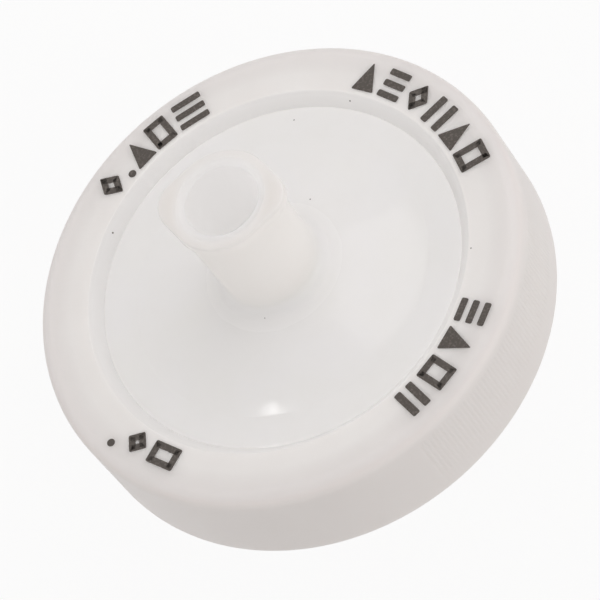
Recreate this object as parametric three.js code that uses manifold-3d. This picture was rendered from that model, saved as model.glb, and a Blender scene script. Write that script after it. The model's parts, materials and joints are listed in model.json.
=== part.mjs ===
// Disc syringe filter of the 25 mm class, lying at rest on its rim and its outlet tip.
//
// Four pieces are stacked along one flow axis: an inlet housing with a female luer lock
// hub, a round membrane, an outlet housing with a male luer slip nozzle, and the ring
// that is moulded over the rims of both housings and holds the stack together.
//
// Sizes are in millimetres. Each piece is drawn about the flow axis first, with heights
// counted from 0 on the ring's front land and growing towards the inlet. The stack is
// then leaned over until the ring and the nozzle tip touch the ground together.

import * as THREE from 'three';
import { mergeVertices } from 'three/addons/utils/BufferGeometryUtils.js';
import Module from 'manifold-3d';

const wasm = await Module();
wasm.setup();

// Fits between pieces
const CLEARANCE = 0.3; // gap left between two pieces that touch

// Moulded ring
const RING_RADIUS = 15.3; // outside
const RING_HEIGHT = 6.8; // front land to back face
const RING_FRONT_ROUND = 0.9; // rounding between the land and the side
const RING_BACK_ROUND = 0.6; // rounding between the back face and the side
const RING_WALL = 1.4; // wall outside the channel that holds the rims
const LAND_WIDTH = 2.35; // flat, printed part of the front face
const LIP_SLOPE = 0.7; // how far the lip slopes in from the land to the floor
const LIP_THICKNESS = 1.2; // lip over each housing's rim

// Housings
const FLOOR_DEPTH = 0.8; // outer floor of each housing, below the ring's face
const FLOOR_FLAT = 1.75; // flat outer band of the inlet floor
const PLATE_THICKNESS = 1.4; // wall between the floor and the chamber
const CHAMBER_STEP = 0.55; // how much smaller the chamber is than the lip's opening
const CONE_RISE = 1.15; // rise of the inlet floor from its flat band to the hub
const HUB_FILLET = 0.75; // concave round between the hub's barrel and the floor

// Inlet hub, female luer lock
const HUB_HEIGHT = 8.7; // mouth above the ring's land
const SOCKET_RADIUS = 2.15; // luer socket at its mouth
const SOCKET_COUNTERSINK = 0.4; // bevel on the socket's mouth, across
const COUNTERSINK_DEPTH = 0.32; // and down
const SOCKET_FLOOR = 0.3; // bottom of the socket above the top of the floor's cone
const LUER_TAPER = 0.03; // change of radius per millimetre on every luer cone
const ORIFICE_RADIUS = 1.2; // passage from the socket to the chamber
const HUB_WALL = 1.1; // wall around the socket, in the band at the mouth
const HUB_BAND = 0.75; // height of that band
const HUB_EDGE = 0.15; // bevel on the mouth's outer edge
const BAND_STEP = 0.17; // how far the barrel is set back below the band
const BARREL_DRAFT = 0.1; // how much slimmer the barrel is at the floor
const LUG_REACH = 0.65; // tip of each lug beyond the band
const LUG_ROUND = 1.7; // radius of the round end of each lug
const LUG_THICKNESS = 0.65;
const LUG_DROP = 0.1; // lug's top below the mouth
const LUG_TURN = 49.5; // first lug about the axis, degrees

// Outlet nozzle, male luer slip
const NOZZLE_LENGTH = 9.3; // tip beyond the ring's back face
const TIP_RADIUS = 2; // cone at its tip
const TIP_ROUND = 0.25;
const TIP_BORE_RADIUS = 1.1;
const NOZZLE_COLLAR_RADIUS = 3; // short collar that carries the cone
const NOZZLE_COLLAR_HEIGHT = 1.8;
const NOZZLE_COLLAR_SHOULDER = 0.4; // slope from the collar to the cone
const NOZZLE_FILLET = 0.5; // concave round between the collar and the floor

// Membrane and what holds it off the walls
const MEMBRANE_THICKNESS = 0.2;
const MEMBRANE_MARGIN = 1.4; // from the membrane's edge to the channel's wall
const INLET_RIBS = 8;
const RIB_WIDTH = 0.6;
const RIB_START = 2.4; // radius where the inlet ribs begin
const SUPPORT_DEPTH = 0.8; // outlet chamber, below the membrane's seat
const SUPPORT_RINGS = 3;
const DRAIN_SLOTS = 6;
const DRAIN_WIDTH = 1.1;
const SINK = 0.2; // how far a joined rib reaches into its wall

// Facets
const DISC_SEGMENTS = 64;
const HUB_SEGMENTS = 32;
const ROUND_STEPS = 4;
const LUG_STEPS = 8;
const BISECTIONS = 50; // halvings when the resting lean is found

// Radii and heights that follow from the sizes above
const landInner = RING_RADIUS - RING_FRONT_ROUND - LAND_WIDTH;
const lipInner = landInner - LIP_SLOPE;
const channelRadius = RING_RADIUS - RING_WALL;
const rimRadius = channelRadius - CLEARANCE;
const plateRadius = lipInner - CLEARANCE;
const chamberRadius = lipInner - CHAMBER_STEP;
const coneRadius = plateRadius - FLOOR_FLAT;
const middle = -RING_HEIGHT / 2;
const seatOffset = MEMBRANE_THICKNESS / 2 + CLEARANCE;
const rimTop = -(LIP_THICKNESS + CLEARANCE);
const inletSeat = middle + seatOffset;
const outletSeat = middle - seatOffset;
const backFloor = FLOOR_DEPTH - RING_HEIGHT;
const tipHeight = -RING_HEIGHT - NOZZLE_LENGTH;
const hubFoot = CONE_RISE - FLOOR_DEPTH;
const hubRadius = SOCKET_RADIUS + HUB_WALL;
const barrelTop = hubRadius - BAND_STEP;
const barrelBase = barrelTop - BARREL_DRAFT;

const polypropylene = { color: 0xe4e1dc, roughness: 0.42, metalness: 0 };
const ringPlastic = { color: 0xe0ddd7, roughness: 0.5, metalness: 0 };
const membraneWhite = { color: 0xf6f6f3, roughness: 0.9, metalness: 0 };

/** Points [radius, height] of an arc about a centre, from one angle to another in degrees. */
function arc(radius, height, round, from, to, steps = ROUND_STEPS) {
  const points = [];
  for (let i = 0; i <= steps; i++) {
    const angle = THREE.MathUtils.degToRad(from + ((to - from) * i) / steps);
    points.push([radius + round * Math.cos(angle), height + round * Math.sin(angle)]);
  }
  return points;
}

/** A geometry as a manifold solid: corners merged, collapsed triangles at the axis dropped. */
function toSolid(geometry) {
  geometry.deleteAttribute('normal');
  geometry.deleteAttribute('uv');
  const merged = mergeVertices(geometry);
  const corners = merged.index.array;
  const triangles = [];
  for (let i = 0; i < corners.length; i += 3) {
    const [a, b, c] = corners.slice(i, i + 3);
    if (a !== b && b !== c && c !== a) triangles.push(a, b, c);
  }
  const mesh = new wasm.Mesh({
    numProp: 3,
    vertProperties: merged.attributes.position.array,
    triVerts: new Uint32Array(triangles),
  });
  return new wasm.Manifold(mesh);
}

/** The outline [radius, height], listed clockwise, turned about the flow axis. */
function revolve(outline, segments) {
  const points = [...outline, outline[0]].map(([radius, height]) => new THREE.Vector2(radius, height));
  const geometry = new THREE.LatheGeometry(points.reverse(), segments, Math.PI / segments);
  return toSolid(geometry.rotateX(Math.PI / 2));
}

/** A bar from one radius to another between two heights, turned about the axis. */
function radialBar(fromRadius, toRadius, width, low, high, turn) {
  const geometry = new THREE.BoxGeometry(toRadius - fromRadius, width, high - low);
  geometry.translate((fromRadius + toRadius) / 2, 0, (low + high) / 2);
  return toSolid(geometry.rotateZ(turn));
}

/** A named mesh made from a manifold solid. */
function meshOf(name, solid, finish) {
  const { vertProperties, triVerts } = solid.getMesh();
  const geometry = new THREE.BufferGeometry();
  geometry.setAttribute('position', new THREE.BufferAttribute(vertProperties, 3));
  geometry.setIndex(new THREE.BufferAttribute(triVerts, 1));
  geometry.computeVertexNormals();
  const mesh = new THREE.Mesh(geometry, new THREE.MeshStandardMaterial(finish));
  mesh.name = name;
  return mesh;
}

/** One half of the ring's section, [radius, depth below its own face], channel to side. */
function ringFace(round) {
  return [
    [channelRadius, LIP_THICKNESS],
    [lipInner, LIP_THICKNESS],
    [lipInner, FLOOR_DEPTH],
    [landInner, 0],
    ...arc(RING_RADIUS - round, round, round, -90, 0),
  ];
}

/** Ring moulded round the rims: flat land in front, rounded edges, an inner channel. */
function mouldedRing() {
  const front = ringFace(RING_FRONT_ROUND).map(([radius, depth]) => [radius, -depth]);
  const back = ringFace(RING_BACK_ROUND).map(([radius, depth]) => [radius, depth - RING_HEIGHT]);
  return revolve([...front, ...back.reverse()], DISC_SEGMENTS);
}

/** Inlet plate: raised floor inside the ring, rim in its channel, chamber underneath. */
function inletPlate() {
  const ceiling = -FLOOR_DEPTH - PLATE_THICKNESS;
  const outline = [
    [ORIFICE_RADIUS, hubFoot],
    [barrelBase + HUB_FILLET, hubFoot],
    [coneRadius, -FLOOR_DEPTH],
    [plateRadius, -FLOOR_DEPTH],
    [plateRadius, rimTop],
    [rimRadius, rimTop],
    [rimRadius, inletSeat],
    [chamberRadius, inletSeat],
    [chamberRadius, ceiling],
    [coneRadius, ceiling],
    [ORIFICE_RADIUS, ceiling + CONE_RISE],
  ];
  return revolve(outline, DISC_SEGMENTS);
}

/** Luer lock hub: banded barrel with a filleted foot and a tapered socket. */
function inletHub() {
  const socketBottom = hubFoot + SOCKET_FLOOR;
  const bandBottom = HUB_HEIGHT - HUB_BAND;
  const filletCentre = barrelBase + HUB_FILLET;
  const outline = [
    [SOCKET_RADIUS + SOCKET_COUNTERSINK, HUB_HEIGHT],
    [hubRadius - HUB_EDGE, HUB_HEIGHT],
    [hubRadius, HUB_HEIGHT - HUB_EDGE],
    [hubRadius, bandBottom],
    [barrelTop, bandBottom - HUB_EDGE],
    ...arc(filletCentre, hubFoot + HUB_FILLET, HUB_FILLET, 180, 270),
    [filletCentre, hubFoot - SINK],
    [ORIFICE_RADIUS, hubFoot - SINK],
    [ORIFICE_RADIUS, socketBottom],
    [SOCKET_RADIUS - LUER_TAPER * (HUB_HEIGHT - socketBottom), socketBottom],
    [SOCKET_RADIUS - LUER_TAPER * COUNTERSINK_DEPTH, HUB_HEIGHT - COUNTERSINK_DEPTH],
  ];
  return revolve(outline, HUB_SEGMENTS);
}

/** One lug: a round-ended tab whose sides run as tangents to the hub's band. */
function lug(turn) {
  const centre = hubRadius + LUG_REACH - LUG_ROUND;
  const side = Math.acos((hubRadius - LUG_ROUND) / centre);
  const inside = hubRadius - SINK;
  const outline = new THREE.Shape();
  outline.moveTo(inside * Math.cos(side), -inside * Math.sin(side));
  outline.lineTo(hubRadius * Math.cos(side), -hubRadius * Math.sin(side));
  outline.absarc(centre, 0, LUG_ROUND, -side, side);
  outline.lineTo(hubRadius * Math.cos(side), hubRadius * Math.sin(side));
  outline.lineTo(inside * Math.cos(side), inside * Math.sin(side));
  outline.absarc(0, 0, inside, side, -side, true);
  const shape = { depth: LUG_THICKNESS, bevelEnabled: false, curveSegments: LUG_STEPS };
  const geometry = new THREE.ExtrudeGeometry(outline, shape);
  geometry.translate(0, 0, HUB_HEIGHT - LUG_DROP - LUG_THICKNESS);
  return toSolid(geometry.rotateZ(turn));
}

/** Inlet housing: plate, hub, two lugs opposite each other, and ribs over the membrane. */
function inletHousing() {
  const turn = THREE.MathUtils.degToRad(LUG_TURN);
  let housing = inletPlate().add(inletHub());
  housing = housing.add(lug(turn)).add(lug(turn + Math.PI));
  const ribTop = -FLOOR_DEPTH - PLATE_THICKNESS + SINK;
  for (let i = 0; i < INLET_RIBS; i++) {
    const angle = ((i + 0.5) * 2 * Math.PI) / INLET_RIBS;
    const rib = radialBar(RIB_START, chamberRadius + SINK, RIB_WIDTH, inletSeat, ribTop, angle);
    housing = housing.add(rib);
  }
  return housing;
}

/** Membrane: a thin disc between the two rims. */
function membrane() {
  const radius = channelRadius - MEMBRANE_MARGIN;
  const top = middle + MEMBRANE_THICKNESS / 2;
  const bottom = middle - MEMBRANE_THICKNESS / 2;
  return revolve([[0, top], [radius, top], [radius, bottom], [0, bottom]], DISC_SEGMENTS);
}

/** Rounded end of the nozzle, [radius, height], from its side to its face. */
function tipEdge() {
  return arc(TIP_RADIUS - TIP_ROUND, tipHeight + TIP_ROUND, TIP_ROUND, 0, -90);
}

/** Outlet plate: rim in the ring's channel, shallow drained chamber, recessed back. */
function outletPlate() {
  const outline = [
    [TIP_BORE_RADIUS, outletSeat - SUPPORT_DEPTH],
    [chamberRadius, outletSeat - SUPPORT_DEPTH],
    [chamberRadius, outletSeat],
    [rimRadius, outletSeat],
    [rimRadius, -RING_HEIGHT - rimTop],
    [plateRadius, -RING_HEIGHT - rimTop],
    [plateRadius, backFloor],
    [TIP_BORE_RADIUS, backFloor],
  ];
  return revolve(outline, DISC_SEGMENTS);
}

/** Male luer nozzle on its short collar, with a straight bore. */
function nozzle() {
  const collarEnd = backFloor - NOZZLE_COLLAR_HEIGHT;
  const coneTop = collarEnd - NOZZLE_COLLAR_SHOULDER;
  const coneTopRadius = TIP_RADIUS + LUER_TAPER * (coneTop - tipHeight);
  const outline = [
    [TIP_BORE_RADIUS, backFloor + SINK],
    [NOZZLE_COLLAR_RADIUS + NOZZLE_FILLET, backFloor + SINK],
    ...arc(NOZZLE_COLLAR_RADIUS + NOZZLE_FILLET, backFloor - NOZZLE_FILLET, NOZZLE_FILLET, 90, 180),
    [NOZZLE_COLLAR_RADIUS, collarEnd],
    [coneTopRadius, coneTop],
    ...tipEdge(),
    [TIP_BORE_RADIUS, tipHeight],
  ];
  return revolve(outline, HUB_SEGMENTS);
}

/** Concentric ribs that carry the membrane, cut through by radial drains. */
function membraneSupport() {
  const low = outletSeat - SUPPORT_DEPTH - SINK;
  const pitch = (chamberRadius - RIB_START) / (SUPPORT_RINGS + 0.5);
  let rings = null;
  for (let i = 0; i < SUPPORT_RINGS; i++) {
    const inner = RIB_START + pitch * (i + 0.5);
    const outer = inner + RIB_WIDTH;
    const section = [[inner, outletSeat], [outer, outletSeat], [outer, low], [inner, low]];
    const ring = revolve(section, HUB_SEGMENTS);
    rings = rings ? rings.add(ring) : ring;
  }
  for (let i = 0; i < DRAIN_SLOTS; i++) {
    const angle = (i * 2 * Math.PI) / DRAIN_SLOTS;
    const slot = radialBar(0, chamberRadius, DRAIN_WIDTH, low - SINK, outletSeat + SINK, angle);
    rings = rings.subtract(slot);
  }
  return rings;
}

/** Outlet housing: plate, membrane support and nozzle. */
function outletHousing() {
  return outletPlate().add(membraneSupport()).add(nozzle());
}

/** How far the lowest of some [radius, height] points lies from the axis origin at a lean. */
function reach(points, segments, lean) {
  const flat = Math.cos(Math.PI / segments);
  const drops = points.map(([r, h]) => r * flat * Math.sin(lean) - h * Math.cos(lean));
  return Math.max(...drops);
}

/** Lean at which the ring's back edge and the nozzle's tip reach the ground together. */
function restLean() {
  const backEdge = ringFace(RING_BACK_ROUND).map(([radius, depth]) => [radius, depth - RING_HEIGHT]);
  let low = 0;
  let high = Math.PI / 2;
  for (let i = 0; i < BISECTIONS; i++) {
    const lean = (low + high) / 2;
    const ringLower = reach(backEdge, DISC_SEGMENTS, lean) > reach(tipEdge(), HUB_SEGMENTS, lean);
    if (ringLower) high = lean;
    else low = lean;
  }
  return (low + high) / 2;
}

const stack = new THREE.Group();
stack.add(meshOf('inlet_housing', inletHousing(), polypropylene));
stack.add(meshOf('membrane', membrane(), membraneWhite));
stack.add(meshOf('outlet_housing', outletHousing(), polypropylene));
stack.add(meshOf('moulded_ring', mouldedRing(), ringPlastic));
stack.rotation.y = -restLean();

// The origin is under the middle of the object's box, on the ground.
const filter = new THREE.Group();
filter.add(stack);
const box = new THREE.Box3().setFromObject(filter, true);
stack.position.set(-(box.min.x + box.max.x) / 2, -(box.min.y + box.max.y) / 2, -box.min.z);

export default filter;
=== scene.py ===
"""Looks of a disc syringe filter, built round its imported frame.

The filter is four mouldings on one flow axis: an inlet housing with a luer lock hub, a
membrane, an outlet housing with a luer slip nozzle, and the ring moulded over their rims.
Each is a section turned about the axis in millimetres, with heights counted from 0 on the
ring's front land and growing towards the inlet, and is then laid into the row frame.
"""

import json
import logging
import math
from collections.abc import Callable, Iterable
from dataclasses import dataclass, field, replace
from enum import Enum

import bmesh
import bpy
from mathutils import Matrix, Vector


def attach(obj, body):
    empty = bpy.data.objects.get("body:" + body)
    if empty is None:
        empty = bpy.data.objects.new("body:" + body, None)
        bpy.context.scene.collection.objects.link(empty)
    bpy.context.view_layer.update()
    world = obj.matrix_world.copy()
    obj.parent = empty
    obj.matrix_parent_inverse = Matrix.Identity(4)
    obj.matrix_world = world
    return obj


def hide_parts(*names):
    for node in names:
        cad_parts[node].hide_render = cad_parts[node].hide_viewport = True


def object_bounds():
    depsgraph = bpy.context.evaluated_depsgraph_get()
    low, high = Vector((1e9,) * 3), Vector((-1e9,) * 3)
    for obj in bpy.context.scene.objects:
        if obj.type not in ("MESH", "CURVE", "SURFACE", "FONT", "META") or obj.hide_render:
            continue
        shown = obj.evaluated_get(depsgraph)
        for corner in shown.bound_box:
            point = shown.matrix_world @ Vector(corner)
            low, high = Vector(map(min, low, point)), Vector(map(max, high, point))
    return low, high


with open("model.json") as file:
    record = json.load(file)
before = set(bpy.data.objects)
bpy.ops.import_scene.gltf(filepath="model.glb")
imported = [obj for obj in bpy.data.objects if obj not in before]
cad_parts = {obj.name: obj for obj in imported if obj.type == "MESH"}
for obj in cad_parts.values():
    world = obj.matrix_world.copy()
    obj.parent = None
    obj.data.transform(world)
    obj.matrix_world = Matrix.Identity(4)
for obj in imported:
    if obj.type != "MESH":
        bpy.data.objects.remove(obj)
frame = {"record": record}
CAD_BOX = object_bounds()

log = logging.getLogger("syringe_filter")

MM = 0.001
WELD = 1e-4  # corners closer than this are one, in millimetres
NEAR = 1e-3  # a corner this near to a place is at it, in millimetres
SHARP_ANGLE = math.radians(38)
FULL_TURN = 2 * math.pi
CRISP = 0.05  # rounding of a crisp moulded edge, in millimetres
PLAIN = 0.08  # rounding of a plain moulded edge, in millimetres


# ---------------------------------------------------------------- the flow axis


@dataclass(frozen=True)
class FlowAxis:
    """Where the filter's own axis lies in the row frame.

    Attributes:
        origin: Point on the axis level with the ring's front land, in metres.
        direction: Unit vector towards the inlet.
    """

    origin: Vector
    direction: Vector

    @classmethod
    def of_record(cls, record: dict, mount_name: str = "ring_land") -> "FlowAxis":
        """Reads the axis from a mount on the land.

        Args:
            record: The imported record.
            mount_name: A flat face that is square to the axis, at height 0.

        Returns:
            The axis. The filter is symmetrical across it, so its origin has no Y.
        """
        mount = next(m for m in record["mounts"] if m["name"] == mount_name)
        place = Vector(mount["pos_m"])
        return cls(Vector((place.x, 0.0, place.z)), Vector(mount["axis"]).normalized())

    def turn(self) -> Matrix:
        """Rotation from the filter's own axes to the row frame's, as a 4x4."""
        across = Vector((0.0, 1.0, 0.0)).cross(self.direction)
        columns = (across, Vector((0.0, 1.0, 0.0)), self.direction)
        return Matrix(columns).transposed().to_4x4()

    def to_row(self) -> Matrix:
        """Transform from millimetres about the axis to metres in the row frame."""
        return Matrix.Translation(self.origin) @ self.turn() @ Matrix.Scale(MM, 4)

    def to_own(self) -> Matrix:
        """Transform from metres in the row frame to metres about the axis."""
        return (Matrix.Translation(self.origin) @ self.turn()).inverted()


AXIS = FlowAxis.of_record(frame["record"])


# ---------------------------------------------------------------- turned sections


@dataclass(frozen=True)
class Corner:
    """One corner of a turned section.

    Attributes:
        radius: Distance from the axis, in millimetres.
        height: Height above the front land.
        round: Radius that the corner is rounded to.
        steps: Number of flats in the rounding.
    """

    radius: float
    height: float
    round: float = 0.0
    steps: int = 5


def round_corner(bm: bmesh.types.BMesh, vert: bmesh.types.BMVert, corner: Corner) -> None:
    """Rounds one corner of a section that is still a loop of edges.

    Args:
        bm: The mesh that holds the loop.
        vert: The corner's vertex.
        corner: Its radius of rounding and number of flats.
    """
    before, after = (e.other_vert(vert).co - vert.co for e in vert.link_edges)
    bend = math.pi - before.angle(after)
    bmesh.ops.bevel(
        bm, geom=[vert], affect="VERTICES", offset_type="OFFSET",
        offset=corner.round * math.tan(bend / 2), segments=corner.steps,
        profile=0.5, material=-1,
    )


def turned(corners: Iterable[Corner], steps: int, closed: bool = True) -> bmesh.types.BMesh:
    """Turns a section about the axis into a closed shell.

    Args:
        corners: The section's corners in order.
        steps: Number of steps round the axis.
        closed: Whether the last corner joins the first. An open section ends on the axis.

    Returns:
        The shell, in millimetres, with its faces pointing outwards.
    """
    listed = list(corners)
    bm = bmesh.new()
    verts = [bm.verts.new((c.radius, 0.0, c.height)) for c in listed]
    for first, second in zip(verts, verts[1:]):
        bm.edges.new((first, second))
    if closed:
        bm.edges.new((verts[-1], verts[0]))
    for corner, vert in zip(listed, verts):
        if corner.round > 0:
            round_corner(bm, vert, corner)
    bmesh.ops.spin(
        bm, geom=bm.verts[:] + bm.edges[:], cent=(0, 0, 0), axis=(0, 0, 1),
        angle=FULL_TURN, steps=steps, use_merge=True,
    )
    bmesh.ops.remove_doubles(bm, verts=bm.verts, dist=WELD)
    bmesh.ops.recalc_face_normals(bm, faces=bm.faces)
    return bm


def add_island(target: bmesh.types.BMesh, island: bmesh.types.BMesh) -> None:
    """Copies one bmesh into another and frees it.

    Args:
        target: The bmesh that grows.
        island: The bmesh that is copied in.
    """
    carrier = bpy.data.meshes.new("carrier")
    island.to_mesh(carrier)
    target.from_mesh(carrier)
    bpy.data.meshes.remove(carrier)
    island.free()


def thicken(bm: bmesh.types.BMesh, way: tuple[float, float, float]) -> None:
    """Grows a flat shape one way into a solid with its faces pointing outwards."""
    grown = bmesh.ops.extrude_face_region(bm, geom=bm.faces[:])["geom"]
    moved = [g for g in grown if isinstance(g, bmesh.types.BMVert)]
    bmesh.ops.translate(bm, verts=moved, vec=way)
    bmesh.ops.recalc_face_normals(bm, faces=bm.faces)


def linked(name: str, data: bpy.types.ID) -> bpy.types.Object:
    """A new object with the given data, linked to the scene."""
    made = bpy.data.objects.new(name, data)
    bpy.context.scene.collection.objects.link(made)
    return made


def make_piece(bm: bmesh.types.BMesh, name: str, smooth: bool = True) -> bpy.types.Object:
    """Lays a finished shell into the row frame as an object at the origin.

    Args:
        bm: The shell in millimetres about the flow axis. It is freed.
        name: The piece's name.
        smooth: Whether faces are shaded smooth up to the sharp angle.

    Returns:
        The object, linked to the scene.
    """
    bmesh.ops.transform(bm, matrix=AXIS.to_row(), verts=bm.verts)
    for face in bm.faces:
        face.smooth = smooth
    for edge in bm.edges:
        edge.smooth = not (edge.is_manifold and edge.calc_face_angle() > SHARP_ANGLE)
    mesh = bpy.data.meshes.new(name)
    bm.to_mesh(mesh)
    bm.free()
    piece = linked(name, mesh)
    if smooth:
        normals = piece.modifiers.new("flats_stay_flat", "WEIGHTED_NORMAL")
        normals.keep_sharp = True
    log.info("%s: %d faces", name, len(mesh.polygons))
    return piece


def dress(piece: bpy.types.Object, material: bpy.types.Material, slot: str, *nodes: str) -> None:
    """Gives a piece its material and its place in the frame.

    Args:
        piece: The finished object.
        material: Its procedural material.
        slot: The record's material slot; not used.
        *nodes: The CAD nodes that it stands for.
    """
    piece.data.materials.append(material)
    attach(piece, "root")
    if nodes:
        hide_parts(*nodes)


# ---------------------------------------------------------------- finishes

Span = tuple[float, float]
Stops = tuple[Span, ...]
Colour = tuple[float, float, float, float]
WHOLE: Span = (0.0, 1.0)
ALIKE = (1.0, 1.0, 1.0)  # light spreads as far in red, green and blue


def fill(socket: bpy.types.NodeSocket, value: object) -> None:
    """Joins an input to another node's output, or sets its value."""
    if isinstance(value, bpy.types.NodeSocket):
        socket.id_data.links.new(value, socket)
    else:
        socket.default_value = value


def maths(
    tree: bpy.types.NodeTree, operation: str, first: object, second: object,
) -> bpy.types.NodeSocket:
    """One operation on two values, given as sockets or numbers."""
    node = tree.nodes.new("ShaderNodeMath")
    node.operation = operation
    fill(node.inputs[0], first)
    fill(node.inputs[1], second)
    return node.outputs["Value"]


class NodeSheet:
    """A material's node tree, with short ways to add and join nodes."""

    def __init__(self, name: str) -> None:
        """Starts a material with a Principled shader and coordinates about the flow axis."""
        self.material = bpy.data.materials.new(name)
        self.material.use_nodes = True
        self.tree = self.material.node_tree
        self.shader = self.tree.nodes["Principled BSDF"]
        self.place = self._coordinates()

    def _coordinates(self) -> bpy.types.NodeSocket:
        """Object coordinates turned to stand on the flow axis, in millimetres."""
        source = self.tree.nodes.new("ShaderNodeTexCoord")
        own = AXIS.to_own()
        mapping = self.add(
            "ShaderNodeMapping", Vector=source.outputs["Object"], Rotation=own.to_euler(),
            Scale=(1 / MM,) * 3, Location=own.translation / MM,
        )
        return mapping.outputs["Vector"]

    def add(self, kind: str, **inputs: object) -> bpy.types.Node:
        """Adds a node and fills its inputs by name.

        Args:
            kind: The node's type name.
            **inputs: A socket to join or a value to set, by input name with _ for spaces.

        Returns:
            The node.
        """
        node = self.tree.nodes.new(kind)
        for name, value in inputs.items():
            fill(node.inputs[name.replace("_", " ")], value)
        return node

    def noise(
        self, scale: float, detail: float = 2.0, roughness: float = 0.5,
    ) -> bpy.types.NodeSocket:
        """A noise of the given scale, in features per millimetre."""
        node = self.add("ShaderNodeTexNoise", Vector=self.place, Scale=scale, Detail=detail,
                        Roughness=roughness)
        return node.outputs["Fac"]

    def ranged(
        self, value: bpy.types.NodeSocket, source: Span, target: Span,
    ) -> bpy.types.NodeSocket:
        """Maps a value from one range to another, held at the ends."""
        node = self.add("ShaderNodeMapRange", Value=value, From_Min=source[0], From_Max=source[1],
                        To_Min=target[0], To_Max=target[1])
        return node.outputs["Result"]

    def along(self, value: bpy.types.NodeSocket, stops: Stops) -> bpy.types.NodeSocket:
        """Follows straight lines between stops, held before the first and after the last.

        Args:
            value: What is measured.
            stops: Pairs of a value and what it stands for, in order.

        Returns:
            The socket with the result.
        """
        total = None
        for (start, low), (end, high) in zip(stops, stops[1:]):
            base = low if total is None else 0.0
            part = self.ranged(value, (start, end), (base, base + high - low))
            total = part if total is None else maths(self.tree, "ADD", total, part)
        return total

    def blend(
        self, amount: bpy.types.NodeSocket, first: object, second: object,
    ) -> bpy.types.NodeSocket:
        """Mixes two colours by an amount."""
        node = self.tree.nodes.new("ShaderNodeMix")
        node.data_type = "RGBA"
        ends = [s for s in node.inputs if s.type == "RGBA"]
        for socket, colour in zip(ends, (first, second)):
            fill(socket, colour)
        fill(node.inputs[0], amount)
        return next(s for s in node.outputs if s.type == "RGBA")

    def vectors(self, operation: str, first: object, second: object) -> bpy.types.Node:
        """One operation on two vectors, given as sockets or triples."""
        node = self.tree.nodes.new("ShaderNodeVectorMath")
        node.operation = operation
        fill(node.inputs[0], first)
        fill(node.inputs[1], second)
        return node

    def from_axis(self) -> bpy.types.NodeSocket:
        """Distance from the flow axis, in millimetres."""
        flat = self.vectors("MULTIPLY", self.place, (1.0, 1.0, 0.0)).outputs["Vector"]
        return self.vectors("DISTANCE", flat, (0.0, 0.0, 0.0)).outputs["Value"]

    def height(self) -> bpy.types.NodeSocket:
        """Height above the ring's front land, in millimetres."""
        return self.add("ShaderNodeSeparateXYZ", Vector=self.place).outputs["Z"]

    def distance(self, point: tuple[float, float, float]) -> bpy.types.NodeSocket:
        """Distance from a point about the flow axis, in millimetres."""
        return self.vectors("DISTANCE", self.place, point).outputs["Value"]

    def set(self, **values: object) -> None:
        """Sets or joins the shader's own inputs, by name with _ for spaces."""
        for name, value in values.items():
            fill(self.shader.inputs[name.replace("_", " ")], value)

    def relief(self, height: bpy.types.NodeSocket, depth: float) -> None:
        """Joins a height pattern, whose full depth is given in millimetres, to the shader."""
        bump = self.add("ShaderNodeBump", Height=height, Distance=depth * MM, Strength=1.0)
        self.set(Normal=bump.outputs["Normal"])


def grey(red: float, green: float, blue: float) -> Colour:
    """An sRGB colour, 0 to 255, as the linear colour with alpha that a socket takes."""

    def linear(part: float) -> float:
        """One part of the colour made linear."""
        share = part / 255
        return share / 12.92 if share <= 0.04045 else ((share + 0.055) / 1.055) ** 2.4

    return (linear(red), linear(green), linear(blue), 1.0)


@dataclass(frozen=True)
class Speck:
    """A tiny dark speck moulded into or lying on the plastic.

    Attributes:
        radius: Distance from the flow axis, in millimetres.
        azimuth: Angle about it, in degrees.
        height: Height above the land.
        size: Radius of the speck.
        core: Share of that radius that is fully dark.
    """

    radius: float
    azimuth: float
    height: float
    size: float = 0.06
    core: float = 0.6

    def point(self) -> tuple[float, float, float]:
        """The speck's place about the flow axis."""
        turn = math.radians(self.azimuth)
        return (self.radius * math.cos(turn), self.radius * math.sin(turn), self.height)

    def over(
        self, sheet: NodeSheet, colour: bpy.types.NodeSocket, dark: Colour,
    ) -> bpy.types.NodeSocket:
        """Lays the speck over a colour.

        Args:
            sheet: The material's nodes.
            colour: What is there without the speck.
            dark: The speck's own colour.

        Returns:
            The socket with the new colour.
        """
        edge = (self.core * self.size, self.size)
        near = sheet.ranged(sheet.distance(self.point()), edge, (1.0, 0.0))
        return sheet.blend(near, colour, dark)


class Measure(Enum):
    """What the stops of painted light and shade are counted in."""

    RADIUS = "distance from the axis"
    HEIGHT = "height above the land"


@dataclass(frozen=True)
class PaintedLightShade:
    """Painted light or shade: a lighter or darker colour that part of a moulding leans towards.

    Attributes:
        colour: The colour.
        measure: What the stops are counted in.
        stops: Pairs of a place, in millimetres, and of the colour's share there.
    """

    colour: Colour
    measure: Measure
    stops: Stops

    def over(self, sheet: NodeSheet, colour: bpy.types.NodeSocket) -> bpy.types.NodeSocket:
        """Lays the painted light or shade over a colour.

        Args:
            sheet: The material's nodes.
            colour: What is there without the painted light or shade.

        Returns:
            The socket with the new colour.
        """
        place = sheet.from_axis() if self.measure is Measure.RADIUS else sheet.height()
        return sheet.blend(sheet.along(place, self.stops), colour, self.colour)


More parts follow.
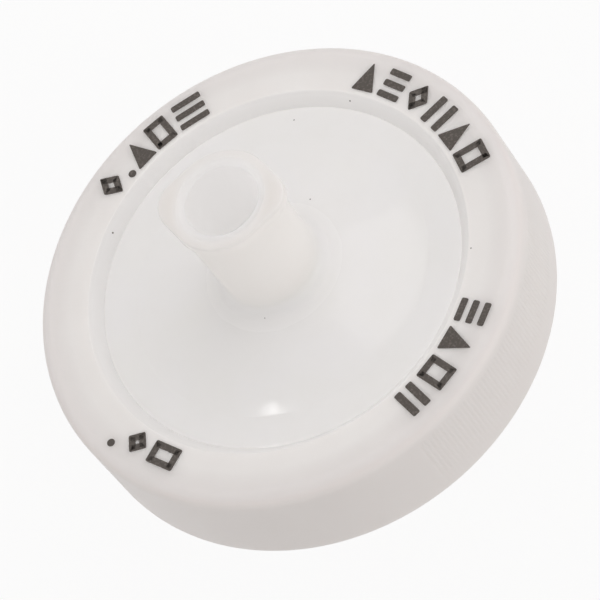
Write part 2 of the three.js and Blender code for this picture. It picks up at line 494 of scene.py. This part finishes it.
@dataclass(frozen=True)
class PlasticFinish:
    """A milky moulded plastic that light sinks into.

    Attributes:
        name: Name of the material.
        colour: Colour where the moulding is clearest.
        cloud: Colour of the milkier clouds in it.
        roughness: Lowest and highest roughness of its skin.
        depths: Stops of distance from the axis and of how far light spreads inside there,
            both in millimetres.
        grain: Depth of the mould's fine grain, in millimetres.
        grain_scale: Grains per millimetre.
        matt: Stops of distance from the axis, in millimetres, and of roughness added there.
        high: Stops of height and of the least that light spreads inside there, the same way.
        painted_light_and_shade: Painted light and shade, colours that parts of the moulding lean
            towards.
        specks: Tiny dark specks.
        speck_colour: Their colour.
        cloud_scale: Clouds per millimetre.
        cloud_span: Where in the noise a cloud begins and is full.
        skin_scale: Changes of roughness per millimetre.
        skin_span: Where in the noise the roughness is lowest and highest.
        index: Refractive index.
    """

    name: str
    colour: Colour
    cloud: Colour
    roughness: Span
    depths: Stops
    grain: float
    grain_scale: float
    matt: Stops = ()
    high: Stops = ()
    painted_light_and_shade: tuple[PaintedLightShade, ...] = ()
    specks: tuple[Speck, ...] = ()
    speck_colour: Colour = grey(96, 84, 78)
    cloud_scale: float = 0.22
    cloud_span: Span = (0.35, 0.65)
    skin_scale: float = 0.9
    skin_span: Span = (0.3, 0.7)
    index: float = 1.49

    @staticmethod
    def in_metres(stops: Stops) -> Stops:
        """The same stops with the depths in metres."""
        return tuple((place, depth * MM) for place, depth in stops)

    def build(self) -> bpy.types.Material:
        """Makes the material: clouds, painted light and shade, specks, uneven gloss and a fine
        mould grain.
        """
        sheet = NodeSheet(self.name)
        radius = sheet.from_axis()
        clouds = sheet.ranged(sheet.noise(self.cloud_scale, detail=3.0), self.cloud_span, WHOLE)
        colour = sheet.blend(clouds, self.colour, self.cloud)
        # painted light and shade laid into the colour
        for painted_layer in self.painted_light_and_shade:
            colour = painted_layer.over(sheet, colour)
        for speck in self.specks:
            colour = speck.over(sheet, colour, self.speck_colour)
        gloss = sheet.ranged(sheet.noise(self.skin_scale), self.skin_span, self.roughness)
        if self.matt:
            gloss = maths(sheet.tree, "ADD", gloss, sheet.along(radius, self.matt))
        spread = sheet.along(radius, self.in_metres(self.depths))
        if self.high:
            least = sheet.along(sheet.height(), self.in_metres(self.high))
            spread = maths(sheet.tree, "MAXIMUM", spread, least)
        sheet.set(
            Base_Color=colour, Roughness=gloss, IOR=self.index, Subsurface_Weight=1.0,
            Subsurface_Radius=ALIKE, Subsurface_Scale=spread,
        )
        sheet.relief(sheet.noise(self.grain_scale, roughness=0.6), self.grain)
        return sheet.material


@dataclass(frozen=True)
class MembraneFinish:
    """A matt white sheet with fine pores."""

    name: str = "membrane_sheet"
    colour: Colour = grey(251, 251, 249)
    pore: Colour = grey(240, 240, 237)
    pore_scale: float = 14.0
    pore_span: Span = (0.42, 0.6)
    pore_depth: float = 0.01
    roughness: float = 0.9
    milk: float = 0.2
    spread: float = 0.3

    def build(self) -> bpy.types.Material:
        """Makes the material: a fine speckle of pores, shallow in relief."""
        sheet = NodeSheet(self.name)
        speckle = sheet.noise(self.pore_scale, detail=4.0, roughness=0.7)
        whole = sheet.ranged(speckle, self.pore_span, WHOLE)
        sheet.set(
            Base_Color=sheet.blend(whole, self.pore, self.colour), Roughness=self.roughness,
            Subsurface_Weight=self.milk, Subsurface_Radius=ALIKE,
            Subsurface_Scale=self.spread * MM,
        )
        sheet.relief(speckle, self.pore_depth)
        return sheet.material


@dataclass(frozen=True)
class InkFinish:
    """Thin, slightly uneven dark pad print."""

    name: str = "pad_print"
    colour: Colour = grey(78, 72, 67)
    thin: Colour = grey(112, 105, 99)
    blotch_scale: float = 5.5
    blotch_span: Span = (0.5, 0.72)
    roughness: Span = (0.45, 0.62)
    skin_scale: float = 3.0
    skin_span: Span = (0.3, 0.7)
    grain: float = 0.004
    grain_scale: float = 11.0
    index: float = 1.45

    def build(self) -> bpy.types.Material:
        """Makes the material: ink that is thinner in fine blotches."""
        sheet = NodeSheet(self.name)
        noise = sheet.noise(self.blotch_scale, detail=3.0, roughness=0.65)
        blotch = sheet.ranged(noise, self.blotch_span, WHOLE)
        gloss = sheet.ranged(sheet.noise(self.skin_scale), self.skin_span, self.roughness)
        sheet.set(
            Base_Color=sheet.blend(blotch, self.colour, self.thin), IOR=self.index,
            Roughness=gloss,
        )
        sheet.relief(sheet.noise(self.grain_scale), self.grain)
        return sheet.material


NATURAL = PlasticFinish(
    name="natural_plastic",
    colour=grey(251, 248, 244),
    cloud=grey(253, 250, 246),
    roughness=(0.08, 0.12),
    depths=(
        (2.3, 16.0), (2.9, 3.0), (3.12, 1.5), (3.3, 0.3), (4.1, 0.3), (8.0, 0.7), (10.4, 0.6),
        (11.25, 0.03),
    ),
    grain=0.0015,
    grain_scale=3.0,
    matt=((4.0, 0.35), (4.6, 0.0)),
    high=((2.0, 0.0), (7.0, 1.6)),
    painted_light_and_shade=(
        # painted shade: the hub darker upwards, its barrel a little and its mouth face and lugs
        # fully
        PaintedLightShade(grey(231, 228, 225), Measure.HEIGHT,
             ((0.7, 0.0), (1.5, 0.3), (8.4, 0.35), (8.65, 1.0))),
        # painted light: the socket's inside pure white, standing in for light let through its thin
        # wall
        PaintedLightShade(grey(255, 255, 255), Measure.RADIUS, ((2.3, 1.0), (2.8, 0.0))),
    ),
    specks=(
        Speck(radius=4.75, azimuth=118.6, height=0.15),
        Speck(radius=8.06, azimuth=-82.5, height=-0.54, size=0.05),
        Speck(radius=10.53, azimuth=142.2, height=-0.8, size=0.05),
        Speck(radius=3.48, azimuth=-41.2, height=0.42, size=0.05),
    ),
)
BACK = replace(
    NATURAL, name="back_plastic", depths=((10.4, 0.7), (11.25, 0.03)), high=(), painted_light_and_shade=(),
    specks=(),
)
SATIN = PlasticFinish(
    name="ring_plastic",
    colour=grey(243, 241, 239),
    cloud=grey(246, 244, 242),
    roughness=(0.45, 0.55),
    depths=(
        (11.4, 0.03), (11.95, 0.1), (12.4, 0.8), (13.0, 0.8), (13.8, 1.8), (14.9, 3.0),
        (15.2, 0.5),
    ),
    grain=0.006,
    grain_scale=4.5,
    painted_light_and_shade=(
        # painted light: the slope from the land down to the inlet floor lighter
        PaintedLightShade(grey(254, 253, 251), Measure.RADIUS, ((11.85, 1.0), (12.1, 0.0))),
        # painted shade: darker towards the outer edge, fullest on its rounding and half on the
        # ribbed side
        PaintedLightShade(grey(234, 229, 227), Measure.RADIUS,
             ((13.2, 0.0), (14.6, 0.8), (15.05, 1.0), (15.25, 0.5))),
    ),
    specks=(
        Speck(radius=11.74, azimuth=-147.6, height=-0.36, size=0.07),
        Speck(radius=11.71, azimuth=123.7, height=-0.39),
        Speck(radius=12.23, azimuth=51.5, height=0.0, size=0.05),
    ),
)


# ---------------------------------------------------------------- the mouldings


@dataclass
class MouldedRing:
    """The ring moulded over both rims: land, rounded edges, ribbed side, inner channel."""

    radius: float = 15.3
    height: float = 6.8
    front_round: float = 0.9
    back_round: float = 0.45
    channel: float = 13.9
    lip_inner: float = 11.35
    land_inner: float = 12.05
    lip: float = 1.2
    floor: float = 0.8
    edge: float = 0.12
    channel_round: float = 0.1
    step_round: float = 0.02
    ribs: int = 332
    rib_depth: float = 0.045
    rib_steps: int = 4
    rib_top: float = -1.05
    rib_bottom: float = -5.2
    rib_fade: float = 0.25

    def face(self, round_edge: float, place: Callable[[float], float]) -> list[Corner]:
        """One half of the section, from the channel to the side.

        Args:
            round_edge: Rounding between the face and the side.
            place: Turns a depth below that face into a height.

        Returns:
            The corners in order.
        """
        return [
            Corner(self.channel, place(self.lip), self.channel_round, steps=2),
            Corner(self.lip_inner, place(self.lip), CRISP, steps=2),
            Corner(self.lip_inner, place(self.floor), self.step_round, steps=2),
            Corner(self.land_inner, place(0.0), self.edge, steps=4),
            Corner(self.radius, place(0.0), round_edge, steps=10),
        ]

    def section(self) -> list[Corner]:
        """The whole section: front half, rows of the ribbed band, back half."""
        front = self.face(self.front_round, lambda depth: -depth)
        back = self.face(self.back_round, lambda depth: depth - self.height)
        heights = (self.rib_top, self.rib_top - self.rib_fade,
                   self.rib_bottom + self.rib_fade, self.rib_bottom)
        band = [Corner(self.radius, height) for height in heights]
        return [*front, *band, *reversed(back)]

    def cut_ribs(self, bm: bmesh.types.BMesh) -> None:
        """Presses fine grooves along the side, fading out at both ends of the band.

        Args:
            bm: The turned ring, with rib_steps steps to each rib.
        """
        for vert in bm.verts:
            radius = math.hypot(vert.co.x, vert.co.y)
            if radius < self.radius - WELD:
                continue
            inside = min(self.rib_top - vert.co.z, vert.co.z - self.rib_bottom) / self.rib_fade
            share = max(0.0, min(1.0, inside))
            wave = 0.5 - 0.5 * math.cos(self.ribs * math.atan2(vert.co.y, vert.co.x))
            scale = 1 - share * wave * self.rib_depth / self.radius
            vert.co.x *= scale
            vert.co.y *= scale

    def build(self, finish: PlasticFinish) -> None:
        """Makes and dresses the ring.

        Args:
            finish: Its plastic.
        """
        bm = turned(self.section(), self.ribs * self.rib_steps)
        self.cut_ribs(bm)
        piece = make_piece(bm, "overmoulded_ring")
        dress(piece, finish.build(), "ring_polypropylene", "moulded_ring")


@dataclass
class LuerLugs:
    """Two round-ended lugs that stand out from the band at the hub's mouth."""

    hub: float = 3.28
    reach: float = 0.66
    end: float = 1.7
    turn: float = 49.5
    top: float = 8.7
    thickness: float = 0.7
    edge: float = 0.13
    edge_steps: int = 4

    def outline(self, azimuth: float) -> float:
        """How far the lugs' outline stands out from the band at an angle about the axis.

        Args:
            azimuth: Angle about the axis, in radians.

        Returns:
            The distance from the band, in millimetres.
        """
        away = azimuth - math.radians(self.turn)
        off = abs((away + math.pi / 2) % math.pi - math.pi / 2)
        centre = self.hub + self.reach - self.end
        side = math.acos((self.hub - self.end) / centre)
        if off >= side:
            return 0.0
        tangent = math.atan2(self.end * math.sin(side), centre + self.end * math.cos(side))
        if off >= tangent:
            return self.hub / math.cos(side - off) - self.hub
        across = centre * math.sin(off)
        return centre * math.cos(off) + math.sqrt(self.end**2 - across**2) - self.hub

    def rows(self) -> list[tuple[float, float]]:
        """Rows down the band that swell into the lugs, over two rounded edges.

        Returns:
            For each row its height and how far it stays back from the outline.
        """
        quarter = [math.radians(90 * i / self.edge_steps) for i in range(self.edge_steps + 1)]
        upper = [
            (self.top - self.edge * (1 - math.cos(a)), self.edge * (1 - math.sin(a)))
            for a in quarter
        ]
        mirror = 2 * self.top - self.thickness
        lower = [(mirror - height, inset) for height, inset in reversed(upper)]
        return upper + lower

    def set_back(self, height: float, inset: float) -> float:
        """How far a row stays back where there is no lug: only the mouth's edge is rounded."""
        return inset if height > self.top - self.thickness / 2 else 0.0

    def corners(self) -> list[Corner]:
        """The rows as corners of the hub's section."""
        return [Corner(self.hub - self.set_back(*row), row[0]) for row in self.rows()]

    def swell(self, bm: bmesh.types.BMesh) -> None:
        """Pulls the band's rows out to the lugs' outline.

        Args:
            bm: The turned housing.
        """
        for height, inset in self.rows():
            band = self.hub - self.set_back(height, inset)
            for vert in bm.verts:
                radius = math.hypot(vert.co.x, vert.co.y)
                if abs(radius - band) > NEAR or abs(vert.co.z - height) > NEAR:
                    continue
                outline = self.outline(math.atan2(vert.co.y, vert.co.x))
                scale = max(band, self.hub + outline - inset) / radius
                vert.co.x *= scale
                vert.co.y *= scale


@dataclass
class InletHousing:
    """Inlet housing: raised floor, filleted luer lock hub, rim, chamber and ribs."""

    steps: int = 288
    plate: float = 11.35
    rim: float = 13.88
    rim_top: float = -1.22
    floor: float = -0.8
    cone: float = 9.3
    cone_round: float = 0.3
    ease: float = 8.75
    ease_height: float = -0.752
    ease_round: float = 8.0
    foot: float = 0.52
    seat: float = -3.29
    chamber: float = 10.8
    ceiling: float = -2.2
    orifice: float = 1.2
    socket: float = 2.26
    socket_bottom: float = 0.65
    taper: float = 0.03
    countersink: float = 0.5
    countersink_depth: float = 0.22
    band_bottom: float = 7.95
    barrel_top: float = 3.08
    barrel_base: float = 2.98
    fillet: float = 0.92
    rib_count: int = 8
    rib_width: float = 0.6
    rib_start: float = 2.4
    sink: float = 0.1
    brim: float = 0.15
    step_round: float = 0.02
    shoulder_round: float = 0.1
    orifice_round: float = 0.15
    socket_round: float = 0.25
    chamber_round: float = 0.2
    lugs: LuerLugs = field(default_factory=LuerLugs)

    def hub_section(self) -> list[Corner]:
        """The hub from the orifice up through the socket and down its outside."""
        mouth, hub = self.lugs.top, self.lugs.hub
        depth = mouth - self.socket_bottom
        return [
            Corner(self.orifice, self.socket_bottom, PLAIN, steps=3),
            Corner(self.socket - self.taper * depth, self.socket_bottom, self.socket_round),
            Corner(self.socket - self.taper * self.countersink_depth,
                   mouth - self.countersink_depth, PLAIN, steps=3),
            Corner(self.socket + self.countersink, mouth, CRISP, steps=3),
            *self.lugs.corners(),
            Corner(hub, self.band_bottom),
            Corner(self.barrel_top, self.band_bottom - (hub - self.barrel_top),
                   self.shoulder_round, steps=3),
            Corner(self.barrel_base, self.foot, self.fillet, steps=9),
        ]

    def section(self) -> list[Corner]:
        """The whole section, from the chamber's ceiling round to it again."""
        return [
            Corner(self.orifice, self.ceiling + self.foot - self.floor, self.orifice_round,
                   steps=4),
            *self.hub_section(),
            Corner(self.ease, self.ease_height, self.ease_round, steps=8),
            Corner(self.cone, self.floor, self.cone_round, steps=4),
            Corner(self.plate - self.brim, self.floor),
            Corner(self.plate, self.floor, self.step_round, steps=2),
            Corner(self.plate, self.rim_top, CRISP, steps=2),
            Corner(self.rim, self.rim_top, PLAIN, steps=2),
            Corner(self.rim, self.seat, PLAIN, steps=2),
            Corner(self.chamber, self.seat, CRISP, steps=2),
            Corner(self.chamber, self.ceiling, self.chamber_round, steps=3),
            Corner(self.cone, self.ceiling, self.cone_round, steps=4),
        ]

    def rib(self, azimuth: float) -> bmesh.types.BMesh:
        """One radial rib under the ceiling.

        Args:
            azimuth: Its angle about the axis, in radians.

        Returns:
            The rib, in millimetres.
        """
        slope = (self.foot - self.floor) / (self.cone - self.barrel_base)
        outline = [
            (self.rib_start, self.seat), (self.chamber + self.sink, self.seat),
            (self.chamber + self.sink, self.ceiling + self.sink),
            (self.cone, self.ceiling + self.sink),
            (self.rib_start, self.ceiling + self.sink + slope * (self.cone - self.rib_start)),
        ]
        bm = bmesh.new()
        bm.faces.new([bm.verts.new((r, -self.rib_width / 2, h)) for r, h in outline])
        thicken(bm, (0, self.rib_width, 0))
        turn = Matrix.Rotation(azimuth, 3, "Z")
        bmesh.ops.rotate(bm, verts=bm.verts, cent=(0, 0, 0), matrix=turn)
        return bm

    def build(self, finish: PlasticFinish) -> None:
        """Makes and dresses the inlet housing.

        Args:
            finish: Its plastic.
        """
        bm = turned(self.section(), self.steps)
        self.lugs.swell(bm)
        for i in range(self.rib_count):
            add_island(bm, self.rib((i + 0.5) * FULL_TURN / self.rib_count))
        piece = make_piece(bm, "inlet_shell")
        dress(piece, finish.build(), "natural_polypropylene", "inlet_housing")


@dataclass
class MembraneSheet:
    """The round membrane, gripped between the two rims."""

    radius: float = 12.5
    top: float = -3.3
    bottom: float = -3.5
    steps: int = 192

    def build(self, finish: MembraneFinish) -> None:
        """Makes and dresses the membrane.

        Args:
            finish: Its surface.
        """
        section = [
            Corner(0.0, self.top), Corner(self.radius, self.top, CRISP, steps=3),
            Corner(self.radius, self.bottom, CRISP, steps=3), Corner(0.0, self.bottom),
        ]
        piece = make_piece(turned(section, self.steps, closed=False), "membrane_sheet")
        dress(piece, finish.build(), "membrane", "membrane")


@dataclass
class OutletHousing:
    """Outlet housing: back plate, membrane support and the luer slip nozzle."""

    steps: int = 256
    plate: float = 11.33
    rim: float = 13.88
    seat: float = -3.51
    rim_bottom: float = -5.58
    floor: float = -6.0
    chamber: float = 10.8
    chamber_floor: float = -4.6
    collar: float = 3.0
    collar_end: float = -7.8
    collar_shoulder: float = 0.4
    fillet: float = 0.5
    tip: float = -16.1
    tip_radius: float = 2.0
    tip_round: float = 0.25
    bore: float = 1.1
    taper: float = 0.03
    support_rings: int = 3
    support_width: float = 0.6
    support_start: float = 2.4
    support_steps: int = 24
    drains: int = 6
    drain_width: float = 1.1
    sink: float = 0.1
    bore_round: float = 0.12
    chamber_round: float = 0.15
    plate_round: float = 0.06
    collar_round: float = 0.15
    cone_round: float = 0.2

    def section(self) -> list[Corner]:
        """The whole section, from the bore over the seat and back up the nozzle."""
        cone_top = self.collar_end - self.collar_shoulder
        return [
            Corner(self.bore, self.chamber_floor, self.bore_round, steps=3),
            Corner(self.chamber, self.chamber_floor, self.chamber_round, steps=3),
            Corner(self.chamber, self.seat, CRISP, steps=2),
            Corner(self.rim, self.seat, PLAIN, steps=2),
            Corner(self.rim, self.rim_bottom, PLAIN, steps=2),
            Corner(self.plate, self.rim_bottom, CRISP, steps=2),
            Corner(self.plate, self.floor, self.plate_round, steps=3),
            Corner(self.collar, self.floor, self.fillet, steps=8),
            Corner(self.collar, self.collar_end, self.collar_round, steps=4),
            Corner(self.tip_radius + self.taper * (cone_top - self.tip), cone_top,
                   self.cone_round, steps=4),
            Corner(self.tip_radius, self.tip, self.tip_round, steps=6),
            Corner(self.bore, self.tip, PLAIN, steps=3),
        ]

    def support(self, index: int, sector: int) -> bmesh.types.BMesh:
        """One arc of the membrane's support, between two drains.

        Args:
            index: Which ring it belongs to, from the middle.
            sector: Which drain it follows.

        Returns:
            The arc, in millimetres.
        """
        pitch = (self.chamber - self.support_start) / (self.support_rings + 0.5)
        inner = self.support_start + pitch * (index + 0.5)
        outer = inner + self.support_width
        low = self.chamber_floor - self.sink
        half = math.asin(self.drain_width / 2 / inner)
        sweep = FULL_TURN / self.drains - 2 * half
        bm = bmesh.new()
        corners = [(inner, 0, low), (outer, 0, low), (outer, 0, self.seat), (inner, 0, self.seat)]
        face = bm.faces.new([bm.verts.new(c) for c in corners])
        bmesh.ops.spin(
            bm, geom=[face], cent=(0, 0, 0), axis=(0, 0, 1), angle=sweep,
            steps=self.support_steps,
        )
        bmesh.ops.remove_doubles(bm, verts=bm.verts, dist=WELD)
        bmesh.ops.recalc_face_normals(bm, faces=bm.faces)
        turn = Matrix.Rotation(sector * FULL_TURN / self.drains + half, 3, "Z")
        bmesh.ops.rotate(bm, verts=bm.verts, cent=(0, 0, 0), matrix=turn)
        return bm

    def build(self, finish: PlasticFinish) -> None:
        """Makes and dresses the outlet housing.

        Args:
            finish: Its plastic.
        """
        bm = turned(self.section(), self.steps)
        for index in range(self.support_rings):
            for sector in range(self.drains):
                add_island(bm, self.support(index, sector))
        piece = make_piece(bm, "outlet_shell")
        dress(piece, finish.build(), "natural_polypropylene", "outlet_housing")


# ---------------------------------------------------------------- the print


class Mark(Enum):
    """Plain shapes that the print is made of."""

    FRAME = "frame"
    WEDGE = "wedge"
    DIAMOND = "diamond"
    PAIR = "pair"
    STACK = "stack"
    DOT = "dot"


@dataclass(frozen=True)
class Print:
    """One printed mark on the land.

    Attributes:
        mark: Its shape.
        azimuth: Its middle about the axis, in degrees.
        width: Its width round the ring, in millimetres.
        inner: Radius where it begins.
        outer: Radius where it ends.
    """

    mark: Mark
    azimuth: float
    width: float = 1.5
    inner: float = 12.35
    outer: float = 14.3


@dataclass
class PadPrint:
    """Four groups of plain dark marks round the land."""

    stroke: float = 0.42
    pair_stroke: float = 0.483
    corner: float = 0.1
    corner_steps: int = 3
    dot_steps: int = 24
    thickness: float = 0.02
    sink: float = 0.008
    upper_start: float = 79.2
    upper_pitch: float = 8.25

    def layout(self) -> list[Print]:
        """The four groups: six, five, four and three marks."""
        first = (Mark.FRAME, Mark.WEDGE, Mark.PAIR, Mark.DIAMOND, Mark.STACK, Mark.WEDGE)
        upper = [
            Print(mark, self.upper_start + self.upper_pitch * i) for i, mark in enumerate(first)
        ]
        left = [
            Print(Mark.STACK, 171.6, width=2.0), Print(Mark.FRAME, 181.2),
            Print(Mark.WEDGE, 188.9), Print(Mark.DOT, 194.5, width=0.5, outer=12.85),
            Print(Mark.DIAMOND, 200.1),
        ]
        right = [
            Print(Mark.PAIR, 6.2, width=1.35), Print(Mark.FRAME, 15.1, width=1.6),
            Print(Mark.WEDGE, 24.3, width=1.6), Print(Mark.STACK, 33.1),
        ]
        low = [
            Print(Mark.DOT, -80.3, width=0.5, inner=13.85, outer=14.35),
            Print(Mark.DIAMOND, -74.4, outer=13.9), Print(Mark.FRAME, -65.3, width=1.9, outer=13.8),
        ]
        return [*upper, *left, *right, *low]

    def plate(self, corners: list[tuple[float, float]]) -> bmesh.types.BMesh:
        """A flat shape with its corners rounded.

        Args:
            corners: Its corners, across and up, in millimetres.

        Returns:
            One face, lying at height 0.
        """
        bm = bmesh.new()
        bm.faces.new([bm.verts.new((x, y, 0)) for x, y in corners])
        bmesh.ops.bevel(
            bm, geom=bm.verts[:], affect="VERTICES", offset_type="OFFSET",
            offset=self.corner, segments=self.corner_steps, profile=0.5, material=-1,
        )
        return bm

    def bar(self, left: float, low: float, right: float, high: float) -> bmesh.types.BMesh:
        """A plain bar between two corners."""
        return self.plate([(left, low), (right, low), (right, high), (left, high)])

    def hollow(self, bm: bmesh.types.BMesh) -> bmesh.types.BMesh:
        """Cuts the middle out of a flat shape, leaving a line of one stroke."""
        middle = bm.faces[:]
        bmesh.ops.inset_region(bm, faces=middle, thickness=self.stroke, use_boundary=True,
                               use_even_offset=True)
        bmesh.ops.delete(bm, geom=middle, context="FACES")
        return bm

    def shapes(self, spec: Print) -> list[bmesh.types.BMesh]:
        """The flat shapes of one mark, about its own middle.

        Args:
            spec: The mark.

        Returns:
            One or more flat shapes.
        """
        half, tall = spec.width / 2, (spec.outer - spec.inner) / 2
        if spec.mark is Mark.FRAME:
            return [self.hollow(self.bar(-half, -tall, half, tall))]
        if spec.mark is Mark.WEDGE:
            return [self.plate([(-half, -tall), (half, -tall), (0, tall)])]
        if spec.mark is Mark.DIAMOND:
            return [self.hollow(self.plate([(-half, 0), (0, -tall), (half, 0), (0, tall)]))]
        if spec.mark is Mark.PAIR:
            wide = self.pair_stroke
            return [
                self.bar(-half, -tall, wide - half, tall),
                self.bar(half - wide, -tall, half, tall),
            ]
        if spec.mark is Mark.STACK:
            middle = self.stroke / 2
            return [
                self.bar(-half, -tall, half, self.stroke - tall),
                self.bar(-half, -middle, half, middle),
                self.bar(-half, tall - self.stroke, half, tall),
            ]
        bm = bmesh.new()
        bmesh.ops.create_circle(bm, cap_ends=True, segments=self.dot_steps, radius=half)
        return [bm]

    def stand(self, bm: bmesh.types.BMesh, spec: Print) -> None:
        """Thickens a flat shape and puts it on the land.

        Args:
            bm: The flat shape about its own middle.
            spec: Where the mark goes.
        """
        thicken(bm, (0, 0, self.thickness + self.sink))
        middle = Vector((0, (spec.inner + spec.outer) / 2, -self.sink))
        turn = Matrix.Rotation(math.radians(spec.azimuth - 90), 4, "Z")
        bmesh.ops.transform(bm, matrix=turn @ Matrix.Translation(middle), verts=bm.verts)

    def build(self, finish: InkFinish) -> None:
        """Makes and dresses the print.

        Args:
            finish: Its ink.
        """
        whole = bmesh.new()
        for spec in self.layout():
            for shape in self.shapes(spec):
                self.stand(shape, spec)
                add_island(whole, shape)
        piece = make_piece(whole, "ring_print", smooth=False)
        dress(piece, finish.build(), "print_ink")


# ---------------------------------------------------------------- the studio


@dataclass(frozen=True)
class Lamp:
    """A round or oval softbox aimed at the filter.

    Attributes:
        name: Its name.
        azimuth: Compass angle from the row's +X towards +Y, in degrees.
        elevation: Angle above the floor.
        distance: Distance from the filter, in metres.
        size: Width, in metres.
        share: Brightness that it alone gives a white surface facing it.
        tint: Its colour.
        stretch: Its length over its width.
        roll: Turn of its length away from upright, in degrees.
    """

    name: str
    azimuth: float
    elevation: float
    distance: float
    size: float
    share: float
    tint: tuple[float, float, float] = (1.0, 1.0, 1.0)
    stretch: float = 1.0
    roll: float = 0.0

    def build(self, target: Vector) -> None:
        """Makes the lamp.

        Args:
            target: The point that it is aimed at.
        """
        light = bpy.data.lights.new(self.name, "AREA")
        light.shape = "ELLIPSE"
        light.size = self.size
        light.size_y = self.size * self.stretch
        light.energy = self.share * math.pi**2 * self.distance**2
        light.color = self.tint
        turn, lift = math.radians(self.azimuth), math.radians(self.elevation)
        flat = math.cos(lift)
        away = Vector((math.cos(turn) * flat, math.sin(turn) * flat, math.sin(lift)))
        lamp = linked(self.name, light)
        lamp.location = target + away * self.distance
        facing = away.to_track_quat("Z", "Y").to_matrix()
        lamp.rotation_euler = (facing @ Matrix.Rotation(math.radians(self.roll), 3, "Z")).to_euler()


@dataclass
class Studio:
    """Pale floor, soft lamps, plain surroundings and the camera straight above."""

    floor_size: float = 3.0
    floor_level: float = -0.00008
    floor_colour: Colour = (0.87, 0.87, 0.87, 1.0)
    floor_roughness: float = 0.9
    floor_white: float = 0.9
    ambient: float = 0.662
    ambient_colour: Colour = (1.0, 0.97, 0.955, 1.0)
    camera_place: tuple[float, float, float] = (0.000309, -0.000035, 0.28816)
    camera_turn: float = 51.25
    camera_near: float = 0.01
    lens: float = 279.2
    bounces: int = 16
    lamps: tuple[Lamp, ...] = (
        Lamp("main", azimuth=140.0, elevation=42.0, distance=0.15, size=0.14, share=0.183,
             tint=(1.0, 0.975, 0.985)),
        Lamp("right", azimuth=45.0, elevation=30.0, distance=0.15, size=0.12, share=0.115,
             tint=(1.0, 0.975, 0.96)),
        Lamp("left", azimuth=235.0, elevation=12.0, distance=0.15, size=0.12, share=0.06,
             tint=(1.0, 0.975, 0.96)),
        Lamp("spark", azimuth=191.4, elevation=32.1, distance=0.6, size=0.016, share=0.010,
             stretch=7.0, roll=-43),
    )

    @staticmethod
    def watched(tree: bpy.types.NodeTree) -> bpy.types.NodeSocket:
        """1 on a ray from the eye, through glass or off gloss, and 0 on any other.

        Args:
            tree: The node tree that asks.

        Returns:
            The socket with that value.
        """
        path = tree.nodes.new("ShaderNodeLightPath")
        value = path.outputs["Is Camera Ray"]
        for name in ("Is Transmission Ray", "Is Glossy Ray"):
            value = maths(tree, "MAXIMUM", value, path.outputs[name])
        return value

    def floor(self) -> None:
        """A plain floor whose white shows to the eye while the object's shadow stays on it."""
        bm = bmesh.new()
        bmesh.ops.create_grid(bm, x_segments=1, y_segments=1, size=self.floor_size / 2,
                              matrix=Matrix.Translation((0.0, 0.0, self.floor_level)))
        mesh = bpy.data.meshes.new("floor")
        bm.to_mesh(mesh)
        bm.free()
        plane = linked("floor", mesh)
        material = bpy.data.materials.new("floor_white")
        material.use_nodes = True
        tree = material.node_tree
        shader = tree.nodes["Principled BSDF"]
        shader.inputs["Base Color"].default_value = self.floor_colour
        shader.inputs["Roughness"].default_value = self.floor_roughness
        shader.inputs["Specular IOR Level"].default_value = 0.0
        glow = tree.nodes.new("ShaderNodeEmission")
        mix = tree.nodes.new("ShaderNodeMixShader")
        fill(mix.inputs["Fac"], maths(tree, "MULTIPLY", self.watched(tree), self.floor_white))
        tree.links.new(shader.outputs["BSDF"], mix.inputs[1])
        tree.links.new(glow.outputs["Emission"], mix.inputs[2])
        tree.links.new(mix.outputs["Shader"], tree.nodes["Material Output"].inputs["Surface"])
        mesh.materials.append(material)

    def surroundings(self) -> None:
        """Even, faintly warm light from all round, seen as white by the eye and by gloss."""
        world = bpy.data.worlds.new("surroundings")
        bpy.context.scene.world = world
        world.use_nodes = True
        tree = world.node_tree
        glow = tree.nodes["Background"]
        glow.inputs["Color"].default_value = self.ambient_colour
        glow.inputs["Strength"].default_value = self.ambient
        white = tree.nodes.new("ShaderNodeBackground")
        white.inputs["Color"].default_value = (1.0, 1.0, 1.0, 1.0)
        white.inputs["Strength"].default_value = 1.0
        mix = tree.nodes.new("ShaderNodeMixShader")
        tree.links.new(self.watched(tree), mix.inputs["Fac"])
        tree.links.new(glow.outputs["Background"], mix.inputs[1])
        tree.links.new(white.outputs["Background"], mix.inputs[2])
        tree.links.new(mix.outputs["Shader"], tree.nodes["World Output"].inputs["Surface"])

    def camera(self) -> None:
        """The camera, looking straight down on the filter."""
        data = bpy.data.cameras.new("camera")
        data.lens = self.lens
        data.clip_start = self.camera_near
        camera = linked("camera", data)
        camera.location = self.camera_place
        camera.rotation_euler = (0.0, 0.0, math.radians(self.camera_turn))
        bpy.context.scene.camera = camera

    def build(self) -> None:
        """Sets up the floor, the light and the camera."""
        self.floor()
        self.surroundings()
        low, high = CAD_BOX
        for lamp in self.lamps:
            lamp.build((low + high) / 2)
        self.camera()
        scene = bpy.context.scene
        scene.view_settings.view_transform = "Standard"
        scene.cycles.diffuse_bounces = self.bounces
        scene.cycles.max_bounces = self.bounces


# ---------------------------------------------------------------- the whole


def main() -> None:
    """Builds the studio and the filter's pieces in order."""
    logging.basicConfig(level=logging.INFO, format="%(message)s")
    Studio().build()
    MouldedRing().build(SATIN)
    InletHousing().build(NATURAL)
    MembraneSheet().build(MembraneFinish())
    OutletHousing().build(BACK)
    PadPrint().build(InkFinish())


if __name__ == "__main__":
    main()
